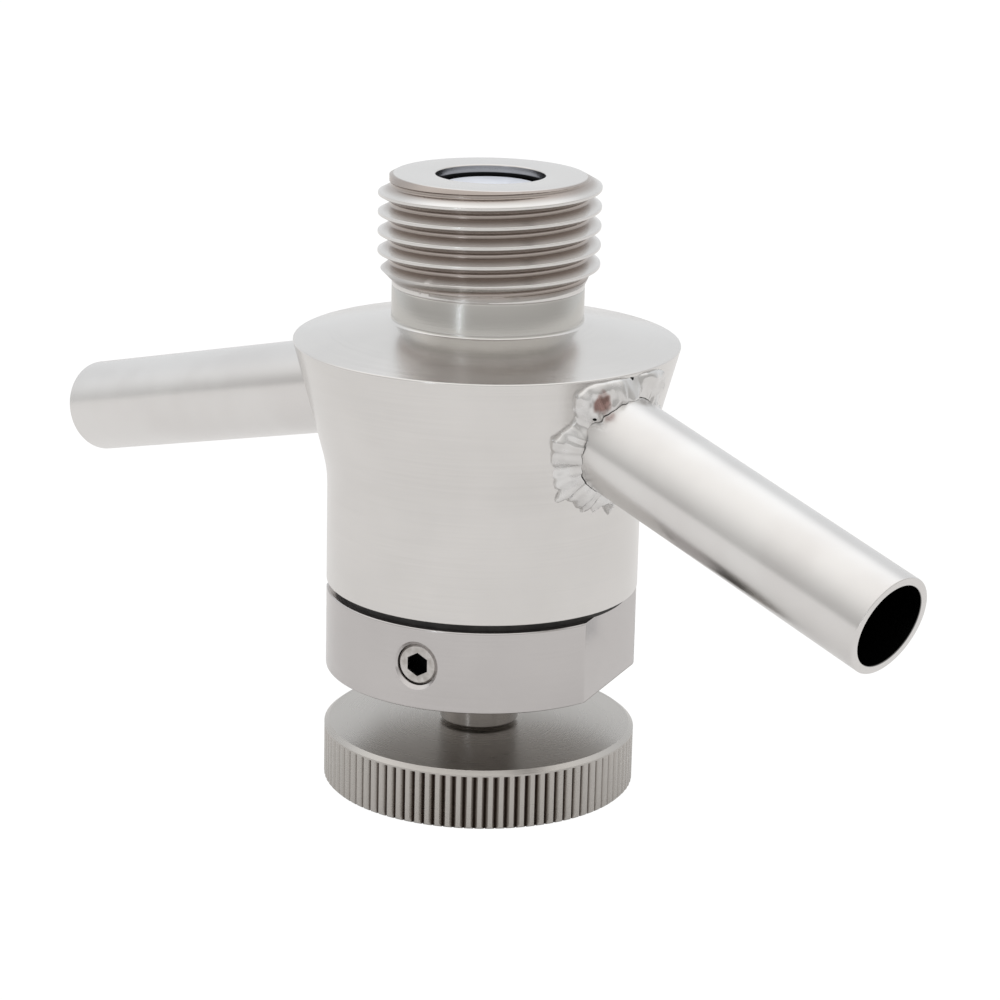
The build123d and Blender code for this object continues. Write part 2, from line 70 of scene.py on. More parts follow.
# The stand: a white table and a white room, which the bright metal mirrors. The table meets
# the valve at the handwheel's lower face. The wall behind the camera is darker towards the
# table, and gives the tubes the grey band along their middle.
class Signal:
    """A socket of a material or of the world, on which arithmetic adds Math nodes."""

    def __init__(self, tree, socket=None):
        self.tree = tree
        self.socket = socket

    def node(self, kind, settings=(), inputs=(), output=0):
        """Adds a node, with its settings first, then the values or links of its sockets."""
        made = self.tree.nodes.new(kind)
        for name, value in dict(settings).items():
            if name == "stops":
                while len(made.color_ramp.elements) < len(value):
                    made.color_ramp.elements.new(0.5)
                for element, (place, colour) in zip(made.color_ramp.elements, value):
                    element.position = place
                    element.color = (*colour, 1) if isinstance(colour, tuple) else (colour,) * 3 + (1,)
            else:
                setattr(made, name, value)
        for name, value in dict(inputs).items():
            if isinstance(value, Signal):
                self.tree.links.new(value.socket, made.inputs[name])
            elif isinstance(value, tuple) and len(value) == 3 and made.inputs[name].type == "RGBA":
                made.inputs[name].default_value = (*value, 1)
            else:
                made.inputs[name].default_value = value
        return Signal(self.tree, made.outputs[output])

    def other(self, output):
        """Another output of the same node."""
        return Signal(self.tree, self.socket.node.outputs[output])

    def math(self, operation, *values):
        numbers = {place: value for place, value in enumerate((self, *values))}
        return self.node("ShaderNodeMath", {"operation": operation}, numbers)

    def clamped(self, low, high):
        """0 up to low, 1 from high on, and smooth between."""
        settings = {"interpolation_type": "SMOOTHSTEP"}
        return self.node("ShaderNodeMapRange", settings, {"Value": self, 1: low, 2: high})

    def between(self, low, high):
        """This mask as a number that goes from low to high."""
        return self * (high - low) + low

    def colours(self, first, second):
        """A colour that goes from the first to the second with this mask."""
        return self.node("ShaderNodeMix", {"data_type": "RGBA"}, {0: self, 6: first, 7: second}, 2)

    def vector(self, operation, value):
        """A number got from this vector and a fixed one."""
        places = {0: self, 1: tuple(value)}
        return self.node("ShaderNodeVectorMath", {"operation": operation}, places, "Value")

    def noise(self, scale, detail=2.0):
        """A grey noise on this vector."""
        return self.node("ShaderNodeTexNoise", (), {"Vector": self, "Scale": scale, "Detail": detail})

    def __add__(self, value):
        return self.math("ADD", value)

    def __sub__(self, value):
        return self.math("SUBTRACT", value)

    def __rsub__(self, value):
        return self.node("ShaderNodeMath", {"operation": "SUBTRACT"}, {0: value, 1: self})

    def __mul__(self, value):
        return self.math("MULTIPLY", value)

    def __truediv__(self, value):
        return self.math("DIVIDE", value)

    def __pow__(self, value):
        return self.math("POWER", value)

    __radd__ = __add__
    __rmul__ = __mul__


def deselected():
    """Leaves nothing selected."""
    for other in bpy.context.selected_objects:
        other.select_set(False)


table_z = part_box("handwheel")[0].z
table_half = 0.9
deselected()
bpy.ops.mesh.primitive_plane_add(size=2 * table_half, location=(0, 0, table_z - 0.05 * MM))
table = bpy.context.object
table.name = "table"
table_finish = bpy.data.materials.new("white table")
table_finish.use_nodes = True
nodes = table_finish.node_tree.nodes
nodes.clear()
start = Signal(table_finish.node_tree)
rays = start.node("ShaderNodeLightPath", output="Is Camera Ray")
mirrored = rays.other("Is Glossy Ray").math("MAXIMUM", rays.other("Is Transmission Ray"))
seen = (rays * 0.985).math("MAXIMUM", mirrored * 0.34)
matt = start.node("ShaderNodeBsdfDiffuse", (), {"Color": (0.80, 0.785, 0.775)})
bright = start.node("ShaderNodeEmission", (), {"Color": (1.0, 1.0, 1.0), "Strength": 1.04})
mixed = start.node("ShaderNodeMixShader", (), {0: seen, 1: matt, 2: bright})
output = nodes.new("ShaderNodeOutputMaterial")
table_finish.node_tree.links.new(mixed.socket, output.inputs["Surface"])
table.data.materials.append(table_finish)

wall_low = 0.56
ceiling = 1.22
back_ceiling = 1.45
back_wall = 0.90
left_wall = 0.45
world = bpy.data.worlds.new("white room")
world.use_nodes = True
bpy.context.scene.world = world
world.node_tree.nodes.clear()
start = Signal(world.node_tree)
direction = start.node("ShaderNodeTexCoord", output="Generated")
parts = start.node("ShaderNodeSeparateXYZ", (), {0: direction})
towards_camera = parts * 0.7071 - parts.other("Y") * 0.7071
height = parts.other("Z")
front = towards_camera.clamped(-0.75, 0.05)
front_wall = height.clamped(0.0, 1.15).between(wall_low, ceiling)
behind = height.clamped(0.55, 0.90).between(back_wall, back_ceiling)
window = (parts * -1).clamped(0.25, 0.85) * height.clamped(0.05, 0.45) * left_wall
room = front * (front_wall + window) + (1 - front) * behind
tint = front.colours((0.97, 0.985, 1.0), (1.0, 0.985, 0.965))
lit = start.node("ShaderNodeBackground", (), {"Color": tint, "Strength": room})
white = start.node("ShaderNodeBackground", (), {"Color": (1.0, 1.0, 1.0), "Strength": 1.0})
rays = start.node("ShaderNodeLightPath", output="Is Camera Ray")
mixed = start.node("ShaderNodeMixShader", (), {0: rays, 1: lit, 2: white})
output = world.node_tree.nodes.new("ShaderNodeOutputWorld")
world.node_tree.links.new(mixed.socket, output.inputs["Surface"])

# One tall narrow lamp to the left of the camera draws the thin blue-white line down the
# spigot, the neck and the collar.
strip_angle = radians(-45.3 - 32.5)
strip_place = Vector((0.62 * cos(strip_angle), 0.62 * sin(strip_angle), 0.02))
strip = bpy.data.lights.new("left strip", "AREA")
strip.shape = "RECTANGLE"
strip.size = 0.014
strip.size_y = 0.9
strip.energy = 0.24
strip.color = (0.84, 0.92, 1.0)
holder = bpy.data.objects.new("left strip", strip)
bpy.context.scene.collection.objects.link(holder)
holder.location = strip_place
holder.rotation_euler = (Vector((0, 0, 0.02)) - strip_place).to_track_quat("-Z", "Y").to_euler()

# The camera stands a third of a metre off and looks down on the valve by 16 degrees.
photo_size = 1000
focal_pixels = 3100.0
sensor = 36.0
azimuth = radians(44.7)
elevation = radians(15.93)
roll = radians(1.334)
camera_place = Vector((202.43, -202.32, 109.59)) * MM
level_right = Vector((cos(azimuth), sin(azimuth), 0))
forward = Vector((-sin(azimuth) * cos(elevation), cos(azimuth) * cos(elevation), -sin(elevation)))
level_up = level_right.cross(forward)
right = cos(roll) * level_right + sin(roll) * level_up
up = cos(roll) * level_up - sin(roll) * level_right
camera = bpy.data.objects.new("camera", bpy.data.cameras.new("camera"))
bpy.context.scene.collection.objects.link(camera)
camera.data.sensor_width = sensor
camera.data.lens = focal_pixels * sensor / photo_size
camera.data.clip_start = 0.01
camera.data.clip_end = 20
camera.matrix_world = Matrix.Translation(camera_place) @ Matrix((right, up, -forward)).transposed().to_4x4()
bpy.context.scene.camera = camera
bpy.context.scene.view_settings.view_transform = "Standard"


# The body is turned from one bar of stainless steel: a straight skirt that flares up to the
# shoulder, and a spigot with a G 1/2 thread, cut up to a relief groove. The outside has the
# fine rings of its last cut, and the shoulder is brushed round.
def finish_of(name, colour, roughness, metallic=1.0):
    """A material with its shader's plain values set, and the place in it that a pattern reads."""
    material = bpy.data.materials.new(name)
    material.use_nodes = True
    shader = material.node_tree.nodes["Principled BSDF"]
    shader.inputs["Base Color"].default_value = (*colour, 1)
    shader.inputs["Roughness"].default_value = roughness
    shader.inputs["Metallic"].default_value = metallic
    place = Signal(material.node_tree).node("ShaderNodeTexCoord", output="Object")
    return material, shader, place


def feed(shader, socket, signal):
    signal.tree.links.new(signal.socket, shader.inputs[socket])


def bumped(shader, height, distance, strength=1.0):
    """Raises the surface by a pattern, its full height being the distance in metres."""
    values = {"Height": height, "Distance": distance, "Strength": strength}
    feed(shader, "Normal", height.node("ShaderNodeBump", (), values))


def stain_and_painted_shade(shader, mask, colour):
    """Darkens a finished colour where the mask is 1: painted shade in grooves, bores, gaps and pits, and
    also the weld's real brown tint.
    """
    socket = shader.inputs["Base Color"]
    now = Signal(mask.tree, socket.links[0].from_socket)
    feed(shader, "Base Color", mask.colours(now, colour))


def turned_steel(name, colour, roughness, ring=0.15, depth=0.25):
    """Steel with fine rings round the valve axis, ring millimetres apart, depth microns deep."""
    material, shader, place = finish_of(name, colour, roughness)
    axes = place.node("ShaderNodeSeparateXYZ", (), {0: place})
    out = (axes * axes + axes.other("Y") * axes.other("Y")) ** 0.5
    rings = place.node("ShaderNodeCombineXYZ", (), {0: out, 1: axes.other("Z"), 2: axes * 0.012})
    fine = rings.noise(1 / (ring * MM), 3.0)
    cloud = place.noise(120.0, 3.0)
    feed(shader, "Roughness", fine * 0.08 + cloud * 0.08 + (roughness - 0.08))
    shade = (cloud * 0.6 + fine * 0.4).clamped(0.25, 0.75)
    dark = tuple(part * 0.95 for part in colour)
    light = tuple(part * 1.04 for part in colour)
    feed(shader, "Base Color", shade.colours(dark, light))
    bumped(shader, fine, depth * 0.01 * MM)
    return material, shader, out, axes.other("Z")


def outline(corners):
    """The points of a profile, in metres, from corners in millimetres, rounded where a third number says."""
    points = []
    for number, corner in enumerate(corners):
        here = Vector(corner[:2])
        rounding = corner[2] if len(corner) == 3 else 0
        if not rounding or number in (0, len(corners) - 1):
            points.append(here)
            continue
        back = (Vector(corners[number - 1][:2]) - here).normalized()
        ahead = (Vector(corners[number + 1][:2]) - here).normalized()
        half = back.angle(ahead) / 2
        centre = here + (back + ahead).normalized() * rounding / sin(half)
        first = here + back * rounding / tan(half) - centre
        turn = first.angle_signed(here + ahead * rounding / tan(half) - centre)
        arcs = max(3, round(abs(turn) / radians(12)))
        for step in range(arcs + 1):
            angle = -turn * step / arcs
            points.append(centre + Matrix.Rotation(angle, 2) @ first)
    return [Vector((point.x, 0, point.y)) * MM for point in points]


def drawn(name, points):
    """A chain of edges through the points."""
    deselected()
    bpy.ops.mesh.primitive_plane_add(size=MM)
    piece = bpy.context.object
    piece.name = name
    bpy.ops.object.mode_set(mode="EDIT")
    bpy.ops.mesh.select_all(action="SELECT")
    bpy.ops.mesh.merge(type="CENTER")
    bpy.ops.transform.translate(value=points[0])
    for before, after in zip(points, points[1:]):
        bpy.ops.mesh.extrude_region_move(TRANSFORM_OT_translate={"value": after - before})
    bpy.ops.object.mode_set(mode="OBJECT")
    return piece


def smoothed(piece, angle=32):
    """Merges what meets, turns the faces outwards and shades all but sharp edges smooth."""
    deselected()
    bpy.context.view_layer.objects.active = piece
    piece.select_set(True)
    bpy.ops.object.mode_set(mode="EDIT")
    bpy.ops.mesh.select_all(action="SELECT")
    bpy.ops.mesh.remove_doubles(threshold=0.0015 * MM)
    bpy.ops.mesh.normals_make_consistent(inside=False)
    bpy.ops.object.mode_set(mode="OBJECT")
    bpy.ops.object.shade_smooth_by_angle(angle=radians(angle))
    return piece


def turned(name, corners, steps=192):
    """A piece turned about the valve axis. A profile that ends where it starts closes."""
    piece = drawn(name, outline(corners))
    bpy.ops.object.mode_set(mode="EDIT")
    bpy.ops.mesh.select_all(action="SELECT")
    bpy.ops.mesh.spin(steps=steps, angle=2 * pi, center=(0, 0, 0), axis=(0, 0, 1))
    bpy.ops.object.mode_set(mode="OBJECT")
    return smoothed(piece)


def dressed(piece, body, slot, material, *replaced):
    """Gives a piece its material and its body, and hides the CAD nodes that it stands for. The slot is not
    used.
    """
    piece.data.materials.clear()
    piece.data.materials.append(material)
    if "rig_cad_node" not in piece:
        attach(piece, body)
    if replaced:
        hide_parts(*replaced)
    return piece


turns = 192
body_base, spigot_top = (corner.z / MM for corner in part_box("valve_body"))
shoulder_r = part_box("valve_body")[1].y / MM
skirt_r = 15.0
neck_r = 9.1
bore_r = 11.0
mouth_r = 5.15
chamber_r = 6.5
flare_low = body_base + 11.0
shoulder_z = body_base + 23.67
neck_z = shoulder_z + 2.0
seat_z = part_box("diaphragm")[0].z / MM + 2.0
valve_seat_z = spigot_top - 2.65
thread_r = 20.955 / 2
thread_root_r = 18.631 / 2
thread_pitch = 25.4 / 14
thread_relief_z = spigot_top - 10.05
thread_low = thread_relief_z - 0.3
thread_high = spigot_top - 0.06
end_face_r = 9.0
chamfer_height = 0.8
chamfer_slope = (thread_r - end_face_r) / chamfer_height
valve_body = turned(
    "valve_body_turned",
    [
        (neck_r, thread_low),
        (neck_r, thread_low - 0.1),
        (neck_r - 0.06, thread_low - 0.2),
        (neck_r, thread_low - 0.3),
        (neck_r, neck_z, 0.4),
        (shoulder_r, shoulder_z, 0.16),
        (skirt_r, flare_low, 12.0),
        (skirt_r, body_base, 0.12),
        (bore_r, body_base, 0.1),
        (bore_r, seat_z),
        (chamber_r, seat_z),
        (chamber_r, valve_seat_z - chamber_r + mouth_r),
        (mouth_r, valve_seat_z, 0.1),
        (mouth_r, spigot_top, 0.14),
        (end_face_r, spigot_top, 0.08),
        (end_face_r + (spigot_top - thread_high) * chamfer_slope, thread_high),
    ],
)


def blank_radius(height):
    """The turned spigot before its thread is cut: relief groove, chamfer, thread, chamfer."""
    entry = neck_r + max(0.0, height - thread_relief_z)
    exit_ = end_face_r + (spigot_top - height) * chamfer_slope
    return min(thread_r, entry, exit_)


# The thread is one ridge wound up the spigot, right-hand, with rounded crests and roots. It
# fades out into the relief groove below and the end chamfer above.
crest_flat = 0.26
flank = (thread_r - thread_root_r) * tan(radians(27.5))
root_half = (thread_pitch - crest_flat - 2 * flank) / 2
crest_at_x = 56.47
ridge_low = crest_at_x - thread_pitch / 2 - thread_pitch * 5
ridge = [
    (thread_root_r, ridge_low),
    (thread_root_r, ridge_low + root_half, 0.22),
    (thread_r, ridge_low + root_half + flank, 0.10),
    (thread_r, ridge_low + root_half + flank + crest_flat, 0.10),
    (thread_root_r, ridge_low + thread_pitch - root_half, 0.22),
    (thread_root_r, ridge_low + thread_pitch),
]
thread = drawn("thread", outline(ridge))
screw = thread.modifiers.new("winding", "SCREW")
screw.screw_offset = thread_pitch * MM
screw.iterations = 9
screw.steps = turns
screw.render_steps = turns
bpy.ops.object.modifier_apply(modifier=screw.name)
for vertex in thread.data.vertices:
    vertex.co.z = min(max(vertex.co.z, thread_low * MM), thread_high * MM)
    wanted = blank_radius(vertex.co.z / MM) * MM
    reach = hypot(vertex.co.x, vertex.co.y)
    if reach > wanted:
        vertex.co.x *= wanted / reach
        vertex.co.y *= wanted / reach
deselected()
thread.select_set(True)
valve_body.select_set(True)
bpy.context.view_layer.objects.active = valve_body
bpy.ops.object.join()
smoothed(valve_body, 40)
body_steel, shader, out, up_axis = turned_steel("body steel", (0.70, 0.685, 0.67), 0.22)
# Painted shade: the thread's roots are painted dark brown, lightening towards the crests.
painted_groove_shade = (1 - out.clamped(0.00945, 0.01035)) * out.clamped(0.00902, 0.00914)
painted_root_shade = painted_groove_shade * up_axis.clamped(thread_low * MM, (thread_low + 0.8) * MM)
stain_and_painted_shade(shader, painted_root_shade * 0.85, (0.34, 0.29, 0.26))
# Painted shade: the plain neck below the thread is painted darker than the rest of the body.
painted_neck_shade = (1 - out.clamped(0.00914, 0.00920)) * (1 - up_axis.clamped(0.0489, 0.0491))
stain_and_painted_shade(shader, painted_neck_shade, (0.55, 0.54, 0.515))
# Painted shade: the mouth's wall is painted grey, and its lowest part, round the diaphragm's nose, black as
# the shadow in that gap.
painted_mouth_shade = (1 - out.clamped(0.00516, 0.00522)) * (1 - up_axis.clamped(0.05930, 0.05940))
stain_and_painted_shade(shader, painted_mouth_shade, (0.47, 0.47, 0.48))
stain_and_painted_shade(shader, painted_mouth_shade * (1 - up_axis.clamped(0.05872, 0.05884)), (0.01, 0.01, 0.01))
dressed(valve_body, "valve", "body_steel", body_steel, "valve_body")

# The two tubes are 9.5 mm stainless tube, drawn and satin polished along their length. Each
# stands in a socket in the body and slopes down away from it, so that it drains.
mounts = {mount["name"]: mount for mount in frame["record"]["mounts"]}
tube_wall = 0.8
tube_edge = 0.12
socket_depth = 3.2


def tube_line(side):
    """The point where a tube's axis meets the valve axis, its direction and its reach, in mm."""
    mount = mounts[side + "_tube_end"]
    end = Vector(mount["pos_m"]) / MM
    way = Vector(mount["axis"]).normalized()
    reach = end.x / way.x
    return end - way * reach, way, reach + tube_edge


def aimed(piece, origin, way):
    """Turns a piece made up the valve axis to lie along another line."""
    piece.rotation_euler = way.to_track_quat("Z", "Y").to_euler()
    piece.location = origin * MM
    deselected()
    bpy.context.view_layer.objects.active = piece
    piece.select_set(True)
    bpy.ops.object.transform_apply(location=True, rotation=True, scale=True)
    return piece


def tube_steel(name, origin, way):
    """Steel with streaks along a tube, and its inner wall painted almost black as shade."""
    material, shader, place = finish_of(name, (0.72, 0.705, 0.69), 0.2)
    upright = Vector((-way.z, 0, way.x))
    along = place.vector("DOT_PRODUCT", way)
    across = place.vector("DOT_PRODUCT", upright)
    axes = place.node("ShaderNodeSeparateXYZ", (), {0: place})
    streaks = place.node("ShaderNodeCombineXYZ", (), {0: along * 0.02, 1: across, 2: axes.other("Y")})
    fine = streaks.noise(5000.0, 3.0)
    cloud = place.noise(150.0, 3.0)
    feed(shader, "Roughness", fine * 0.08 + cloud * 0.08 + 0.16)
    feed(shader, "Base Color", cloud.clamped(0.3, 0.7).colours((0.70, 0.685, 0.675), (0.74, 0.73, 0.72)))
    height = across - origin.dot(upright) * MM
    off_axis = (height * height + axes.other("Y") * axes.other("Y")) ** 0.5
    # Painted shade: the tube's inner wall is painted almost black.
    inside = 1 - off_axis.clamped((tube_r - tube_wall) * MM, (tube_r - tube_wall + 0.1) * MM)
    stain_and_painted_shade(shader, inside, (0.05, 0.05, 0.05))
    bumped(shader, fine, 0.002 * MM)
    return material


tube_r = mounts["outlet_tube_end"]["dims"]["r_mm"]
tubes = {}
for side in ("outlet", "inlet"):
    origin, way, reach = tube_line(side)
    start_at = 17.4 - socket_depth
    tubes[side] = turned(
        side + "_tube_drawn",
        [
            (tube_r, start_at),
            (tube_r, reach, tube_edge),
            (tube_r - tube_wall, reach, tube_edge),
            (tube_r - tube_wall, start_at),
            (tube_r, start_at),
        ],
        128,
    )
    aimed(tubes[side], origin, way)
    finish = tube_steel(side + " tube steel", origin, way)
    dressed(tubes[side], "valve", "tube_steel", finish, side + "_tube")


def cut(piece, cutter):
    """Takes the cutter's shape out of a piece."""
    deselected()
    bpy.context.view_layer.objects.active = piece
    piece.select_set(True)
    boring = piece.modifiers.new("boring", "BOOLEAN")
    boring.operation = "DIFFERENCE"
    boring.solver = "EXACT"
    boring.object = cutter
    bpy.ops.object.modifier_apply(modifier=boring.name)
    bpy.data.objects.remove(cutter)
    return smoothed(piece, 40)


port_r = 3.0
for side in ("outlet", "inlet"):
    origin, way, _ = tube_line(side)
    socket_r = tube_r + 0.02
    boring = [(0, 0), (port_r, 0), (port_r, start_at), (socket_r, start_at), (socket_r, 24), (0, 24), (0, 0)]
    cutter = aimed(turned("boring", boring, 96), origin, way)
    cut(valve_body, cutter)


# The welds are laid by hand round the foot of each tube: a lumpy bead with a few ripples, drawn out in teeth
# at its lower edge. They are bright, with brown tints, and two pits at the outlet bead's top are painted
# black as shade.
def flare_radius(height):
    """The body's radius at a height between the skirt and the shoulder, in mm."""
    slope = (shoulder_r - skirt_r) / (shoulder_z - flare_low)
    return skirt_r + max(0.0, (height - flare_low) * slope)


def weld_bead(name, side, on_body, on_tube, teeth, seed):
    """A bead round the foot of a tube, on_body and on_tube millimetres wide."""
    rings = 256
    points = 28
    crown_share = 0.7
    origin, way, _ = tube_line(side)
    up_tube = Vector((-way.z * way.x / abs(way.x), 0, abs(way.x)))
    slope = (shoulder_r - skirt_r) / (shoulder_z - flare_low)
    deselected()
    bpy.ops.mesh.primitive_torus_add(
        major_segments=rings, minor_segments=points, major_radius=tube_r * MM, minor_radius=MM
    )
    bead = bpy.context.object
    bead.name = name
    for ring in range(rings):
        turn = 2 * pi * ring / rings
        tube_out = Vector((0, cos(turn), 0)) + up_tube * sin(turn)
        distance = skirt_r
        for _ in range(20):
            joint = origin + way * distance + tube_out * tube_r
            distance += flare_radius(joint.z) - hypot(joint.x, joint.y)
        body_out = Vector((joint.x, joint.y, -slope * hypot(joint.x, joint.y))).normalized()
        over_body = (tube_out - tube_out.dot(body_out) * body_out).normalized()
        over_tube = (body_out - body_out.dot(tube_out) * tube_out).normalized()
        where = Vector((cos(turn) + 8, sin(turn) + 8, seed))
        swell = noise.noise(where * 1.6) + 0.5 * noise.noise(where * 4.0)
        ragged = noise.noise(where * 8.0 + Vector((3, 1, 0)))
        tooth = max(0.0, -sin(turn)) ** 3 * max(0.0, noise.noise(where * 6.5 + Vector((9, 4, 1)))) * teeth
        wide = on_body * (1 + 0.5 * swell + 0.22 * ragged) + tooth
        if sin(turn) > 0.2:
            to_edge = 0.98 * (shoulder_z - joint.z) / sin(turn)
            filled = min(1.0, max(0.0, (sin(turn) - 0.5) / 0.35))
            wide = min(wide + (to_edge - wide) * filled, to_edge)
        tall = on_tube * (1 + 0.6 * noise.noise(where * 2.4 + Vector((7, 0, 2))) + 0.3 * ragged)
        crown = 0.66 + 0.30 * noise.noise(where * 2.9 + Vector((0, 5, 3)))
        wrinkled = max(0.0, 0.35 + 1.3 * noise.noise(where * 2.2 + Vector((4, 4, 4))))
        for point in range(points):
            share = point / (points * crown_share)
            vertex = bead.data.vertices[ring * points + point]
            if share <= 1:
                foot = (1 - share) ** 2
                middle = 2 * share * (1 - share) * crown
                out = over_body * wide * (foot + middle) + over_tube * tall * (middle + share**2)
                spot = joint + out
                bow = 2.4 * share * (1 - share)
                phase = turn * 9 + bow + 1.4 * noise.noise(where * 3.1 + Vector((2, 8, 5)))
                ripple = (0.5 + 0.5 * sin(2 * pi * phase)) ** 1.6
                inner_place = spot + Vector((80, 80, seed))
                crease = max(0.0, 1 - abs(noise.noise(inner_place * 0.45)) * 12)
                lift = ripple * 0.05 * wrinkled + noise.noise(inner_place * 0.5) * 0.38 - crease * 0.07
                lift *= (4 * share * (1 - share)) ** 0.5
                spot += (over_body * tall + over_tube * wide).normalized() * lift
                if share < 0.15:
                    wall = flare_radius(spot.z) + 0.5 * share - 0.05
                    reach = hypot(spot.x, spot.y)
                    spot.x *= wall / reach
                    spot.y *= wall / reach
                elif share > 0.92:
                    spot -= tube_out * 0.05
            else:
                inner = (share - 1) / (1 / crown_share - 1)
                inward = sin(pi * inner)
                foot = over_tube * tall * (1 - inner) + over_body * wide * inner
                spot = joint + foot * (1 - inward) - (tube_out + body_out) * 0.2 * (0.3 + inward)
            vertex.co = spot * MM
    return smoothed(bead, 50)


def in_sight(aim):
    """The place on the outlet's bead that the camera sees towards a point, in metres."""
    return outlet_weld.ray_cast(camera_place, (aim * MM - camera_place).normalized())[1]


outlet_weld = weld_bead("outlet_weld_bead", "outlet", 2.1, 1.15, 5.0, 4.2)
inlet_weld = weld_bead("inlet_weld_bead", "inlet", 1.1, 0.7, 0.0, 8.6)
bpy.context.view_layer.update()
weld_finish, shader, place = finish_of("weld metal", (0.72, 0.71, 0.70), 0.2)
lumps = place.noise(500.0, 2.0)
bright = lumps.clamped(0.35, 0.65).colours((0.66, 0.65, 0.64), (0.74, 0.735, 0.73))
feed(shader, "Base Color", bright)
# A real brown heat tint, then two pits painted black as their shade.
tint_and_pit_shade = [
    (Vector((18.3, -4.0, 41.5)), 1.15, 0.45, (0.33, 0.22, 0.20)),
    (Vector((18.3, -4.4, 40.2)), 0.24, 0.1, (0.01, 0.01, 0.01)),
    (Vector((18.9, -0.3, 43.6)), 0.30, 0.1, (0.01, 0.01, 0.01)),
]
for aim, radius, soft, colour in tint_and_pit_shade:
    ragged = place.vector("DISTANCE", in_sight(aim)) + (lumps - 0.5) * 2 * radius * MM
    stain_and_painted_shade(shader, 1 - ragged.clamped(radius * (1 - soft) * MM, radius * MM), colour)
feed(shader, "Roughness", lumps.clamped(0.3, 0.7).between(0.16, 0.32))
bumped(shader, lumps, 0.015 * MM)
dressed(outlet_weld, "valve", "weld_metal", weld_finish, "outlet_weld")
dressed(inlet_weld, "valve", "weld_metal", weld_finish, "inlet_weld")

# The spindle nut is a flanged bush of turned bronze, dropped into the bonnet from above.
# Its thread carries the spindle.
bronze = turned_steel("turned bronze", (0.72, 0.52, 0.30), 0.3)[0]
dressed(frame["nodes"]["spindle_nut"], "valve", "bronze", bronze)

# The bonnet closes the body from below: a turned stainless collar with two spanner flats and
# a threaded boss above it. A cross hole in the collar takes the lock screw.
collar_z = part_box("bonnet")[0].z / MM
collar_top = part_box("bonnet_seal")[0].z / MM
bonnet_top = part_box("plunger_guide")[1].z / MM
nut_low, nut_high = (corner.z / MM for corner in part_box("spindle_nut"))
nut_r = 7.02
flange_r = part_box("spindle_nut")[1].y / MM + 0.02
stem_hole_r = 3.88
groove_r = 5.1
boss_r = bore_r - 0.05
flat_turn = radians(21.5)
flat_distance = 13.5
lock_height = collar_z + 4.2
lock_r = 2.0
lock_way = Vector((sin(flat_turn), -cos(flat_turn), 0))
bonnet = turned(
    "bonnet_turned",
    [
        (stem_hole_r, collar_z + 0.4),
        (stem_hole_r, collar_z, 0.1),
        (skirt_r, collar_z, 0.16),
        (skirt_r, collar_top, 0.2),
        (boss_r, collar_top),
        (boss_r, bonnet_top, 0.2),
        (flange_r, bonnet_top, 0.2),
        (flange_r, nut_high - 1.2),
        (nut_r, nut_high - 1.2),
        (nut_r, nut_low),
        (stem_hole_r, nut_low),
        (stem_hole_r, collar_z + 1.7),
        (groove_r, collar_z + 1.7),
        (groove_r, collar_z + 0.4),
        (stem_hole_r, collar_z + 0.4),
    ],
)
for turn in (flat_turn, flat_turn + pi):
    deselected()
    bpy.ops.mesh.primitive_cube_add(size=1)
    cutter = bpy.context.object
    cutter.scale = (0.004, 0.04, 0.0115)
    cutter.rotation_euler = (0, 0, turn)
    away = flat_distance * MM + 0.002
    cutter.location = (away * cos(turn), away * sin(turn), (collar_z - 2) * MM + 0.00575)
    bpy.ops.object.transform_apply(location=True, rotation=True, scale=True)
    cut(bonnet, cutter)
cross_hole = [(0, nut_r - 1), (lock_r, nut_r - 1), (lock_r, skirt_r - 0.35), (lock_r + 0.5, skirt_r + 0.15)]
cross_hole += [(lock_r + 0.5, skirt_r + 2), (0, skirt_r + 2), (0, nut_r - 1)]
cutter = aimed(turned("cross hole", cross_hole, 64), Vector((0, 0, lock_height)), lock_way)
cut(bonnet, cutter)
# Painted shade: the collar is the body's steel painted darker, and its lower face is painted darker still.
shaded_collar_steel, shader, out, up_axis = turned_steel("shaded collar steel", (0.55, 0.53, 0.525), 0.2)
painted_underside_shade = 1 - up_axis.clamped((collar_z + 0.02) * MM, (collar_z + 0.12) * MM)
stain_and_painted_shade(shader, painted_underside_shade, (0.24, 0.22, 0.20))
dressed(bonnet, "valve", "body_steel", shaded_collar_steel, "bonnet")

# The lock screw is an M4 grub screw with a hexagon socket, whose inside is painted black as shade. Its dog
# point holds the spindle nut.
screw_steel, shader, out, up_axis = turned_steel("screw steel", (0.60, 0.59, 0.57), 0.25)
dressed(frame["nodes"]["swivel_pins"], "plunger", "screw_steel", screw_steel)
lock_steel, shader, place = finish_of("lock screw steel", (0.66, 0.65, 0.63), 0.24)
grain = place.noise(1400.0, 3.0)
feed(shader, "Roughness", grain.between(0.14, 0.36))
feed(shader, "Base Color", grain.clamped(0.3, 0.7).colours((0.42, 0.40, 0.38), (0.60, 0.58, 0.565)))
# Painted shade: the screw is painted black from about a millimetre below the collar's face inwards.
depth = place.vector("DOT_PRODUCT", lock_way)
stain_and_painted_shade(shader, 1 - depth.clamped((skirt_r - 0.95) * MM, (skirt_r - 0.6) * MM), (0.02, 0.02, 0.02))
bumped(shader, grain, 0.03 * MM)
dressed(frame["nodes"]["lock_screw"], "valve", "screw_steel", lock_steel)

